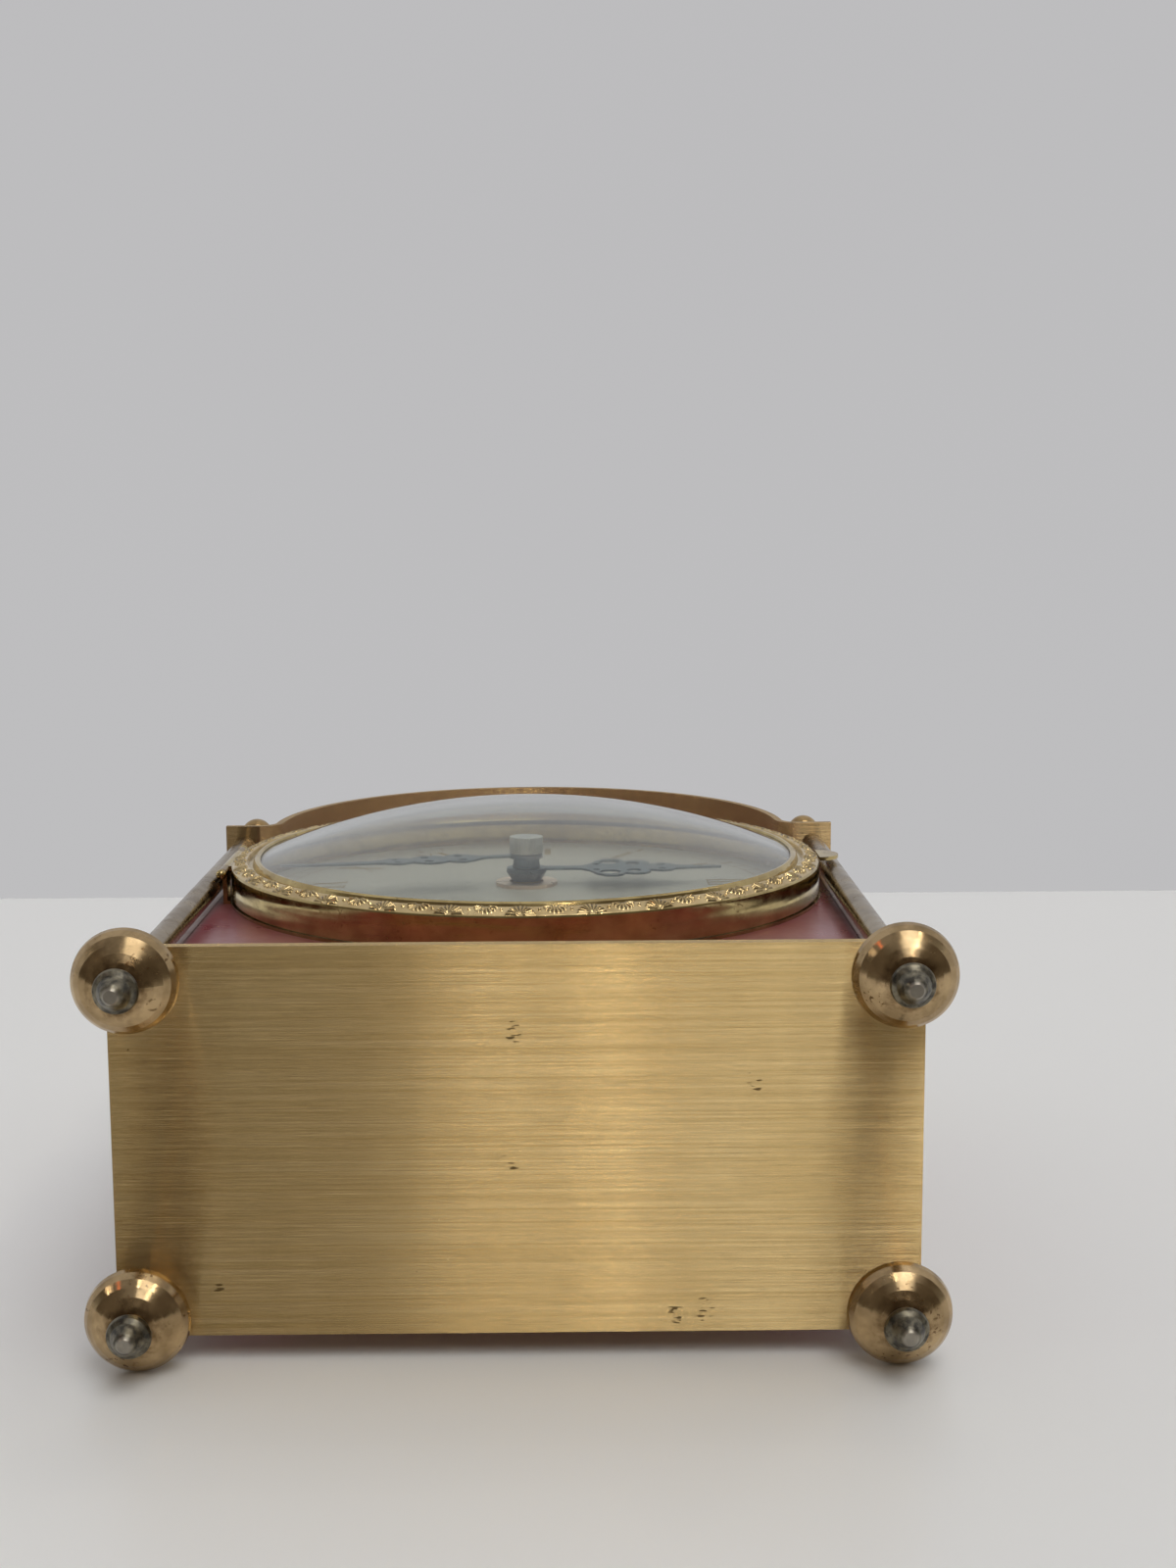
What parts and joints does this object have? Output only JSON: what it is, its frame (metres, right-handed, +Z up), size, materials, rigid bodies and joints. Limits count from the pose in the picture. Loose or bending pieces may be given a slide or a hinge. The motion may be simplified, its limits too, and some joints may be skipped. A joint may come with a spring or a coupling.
{
  "type": "mantel clock",
  "caption": "Brass mantel clock with turned feet, columns, an arched roof, red panels, a domed hinged glass, a hinged back door and a geared spring movement.",
  "frame": {"origin": "middle of the clock's own box at the height that the four feet stand on", "axes": "+Z up, -Y towards the viewer of the dial, +X to the viewer's right"},
  "size_m": [0.139, 0.0782, 0.1881],
  "materials": {
    "brushed_brass": "brushed",
    "polished_brass": "polished",
    "column_brass": "polished",
    "movement_brass": "satin",
    "red_lacquer": "gloss",
    "glass": "clear",
    "white_dial": "satin",
    "copper": "satin",
    "blued_steel": "polished",
    "grey_steel": "satin"
  },
  "bodies": {
    "case": {"base_plate": "brushed_brass", "foot_front_left": "polished_brass", "foot_front_right": "polished_brass", "foot_back_left": "polished_brass", "foot_back_right": "polished_brass", "column_front_left": "column_brass", "column_front_right": "column_brass", "column_back_left": "column_brass", "column_back_right": "column_brass", "finial_nuts": "polished_brass", "roof_strip": "brushed_brass", "front_panel": "red_lacquer", "side_panel_left": "red_lacquer", "side_panel_right": "red_lacquer", "back_panel": "red_lacquer", "corner_bars": "polished_brass", "door_hinge_leaves": "polished_brass", "door_hinge_pins": "grey_steel", "bezel_seat": "polished_brass", "bezel_pin": "polished_brass", "dial": "white_dial", "dial_grommet": "copper", "front_mplate": "movement_brass", "back_mplate": "movement_brass", "pillars": "movement_brass", "movement_screws": "blued_steel", "mount_posts": "movement_brass", "click_spring": "grey_steel", "pallet_cock": "movement_brass", "balance_cock": "movement_brass"},
    "bezel": {"bezel_ring": "polished_brass", "bezel_tab": "polished_brass", "glass": "glass", "glass_ring": "polished_brass"},
    "door": {"back_door": "brushed_brass", "door_knob": "polished_brass"},
    "minute_work": {"minute_hand": "blued_steel", "hand_nut": "grey_steel", "minute_arbor": "grey_steel", "setting_knob": "movement_brass"},
    "minute_wheel_body": {"minute_wheel": "movement_brass"},
    "hour_work": {"hour_hand": "blued_steel", "hour_wheel": "movement_brass"},
    "winding_work": {"barrel_arbor": "grey_steel", "ratchet": "grey_steel", "winding_key": "movement_brass"},
    "click_body": {"click": "grey_steel"},
    "barrel_body": {"barrel": "movement_brass", "barrel_cap": "movement_brass", "mainspring": "grey_steel"},
    "intermediate_body": {"intermediate_wheel": "movement_brass"},
    "centre_body": {"centre_wheel": "movement_brass"},
    "third_body": {"third_wheel": "movement_brass"},
    "fourth_body": {"fourth_wheel": "movement_brass"},
    "escape_body": {"escape_wheel": "grey_steel"},
    "lever_body": {"lever": "grey_steel"},
    "balance_body": {"balance": "movement_brass", "hairspring": "blued_steel"}
  },
  "joints": [
    {"name": "bezel_hinge", "type": "hinge", "parent": "case", "child": "bezel", "pos_m": [-0.0586, -0.0273, 0.1], "axis": [0, 0, -1], "range_deg": [0, 100]},
    {"name": "door_hinge", "type": "hinge", "parent": "case", "child": "door", "pos_m": [0.044, 0.0285, 0.0835], "axis": [0, 0, -1], "range_deg": [0, 110]},
    {"name": "hand_setting", "type": "hinge", "parent": "case", "child": "minute_work", "pos_m": [0, -0.0271, 0.1], "axis": [0, -1, 0], "continuous": true},
    {"name": "minute_wheel_turn", "type": "hinge", "parent": "case", "child": "minute_wheel_body", "pos_m": [0.0096, -0.0171, 0.1], "axis": [0, -1, 0], "continuous": true},
    {"name": "hour_turn", "type": "hinge", "parent": "case", "child": "hour_work", "pos_m": [0, -0.0251, 0.1], "axis": [0, -1, 0], "continuous": true},
    {"name": "winding", "type": "hinge", "parent": "case", "child": "winding_work", "pos_m": [0.00319, 0.0149, 0.06792], "axis": [0, -1, 0], "continuous": true},
    {"name": "click_lift", "type": "hinge", "parent": "case", "child": "click_body", "pos_m": [0.0134, 0.0132, 0.06712], "axis": [0, -1, 0], "range_deg": [-12, 0]},
    {"name": "barrel_turn", "type": "hinge", "parent": "case", "child": "barrel_body", "pos_m": [0.00319, 0.0029, 0.06792], "axis": [0, -1, 0], "continuous": true},
    {"name": "intermediate_turn", "type": "hinge", "parent": "case", "child": "intermediate_body", "pos_m": [-0.01389, 0.0029, 0.08561], "axis": [0, -1, 0], "continuous": true},
    {"name": "centre_turn", "type": "hinge", "parent": "case", "child": "centre_body", "pos_m": [0, 0.0029, 0.1], "axis": [0, -1, 0], "continuous": true},
    {"name": "third_turn", "type": "hinge", "parent": "case", "child": "third_body", "pos_m": [0.009, 0.0029, 0.11559], "axis": [0, -1, 0], "continuous": true},
    {"name": "fourth_turn", "type": "hinge", "parent": "case", "child": "fourth_body", "pos_m": [-0.00458, 0.0029, 0.12053], "axis": [0, -1, 0], "continuous": true},
    {"name": "escape_turn", "type": "hinge", "parent": "case", "child": "escape_body", "pos_m": [-0.0126, 0.0029, 0.1133], "axis": [0, -1, 0], "continuous": true},
    {"name": "lever_rock", "type": "hinge", "parent": "case", "child": "lever_body", "pos_m": [-0.01622, 0.01515, 0.1181], "axis": [0, -1, 0], "range_deg": [-4, 4]},
    {"name": "balance_swing", "type": "hinge", "parent": "case", "child": "balance_body", "pos_m": [-0.02055, 0.0199, 0.12385], "axis": [0, -1, 0], "range_deg": [-270, 270], "stiffness_Nm_per_rad": 0.000001}
  ],
  "couplings": [
    {"joint": "minute_wheel_turn", "follows": "hand_setting", "ratio": -0.33333},
    {"joint": "hour_turn", "follows": "hand_setting", "ratio": 0.083333},
    {"joint": "intermediate_turn", "follows": "barrel_turn", "ratio": -7.2},
    {"joint": "centre_turn", "follows": "barrel_turn", "ratio": 50.4},
    {"joint": "third_turn", "follows": "barrel_turn", "ratio": -403.2},
    {"joint": "fourth_turn", "follows": "barrel_turn", "ratio": 3024},
    {"joint": "escape_turn", "follows": "barrel_turn", "ratio": -24192}
  ]
}
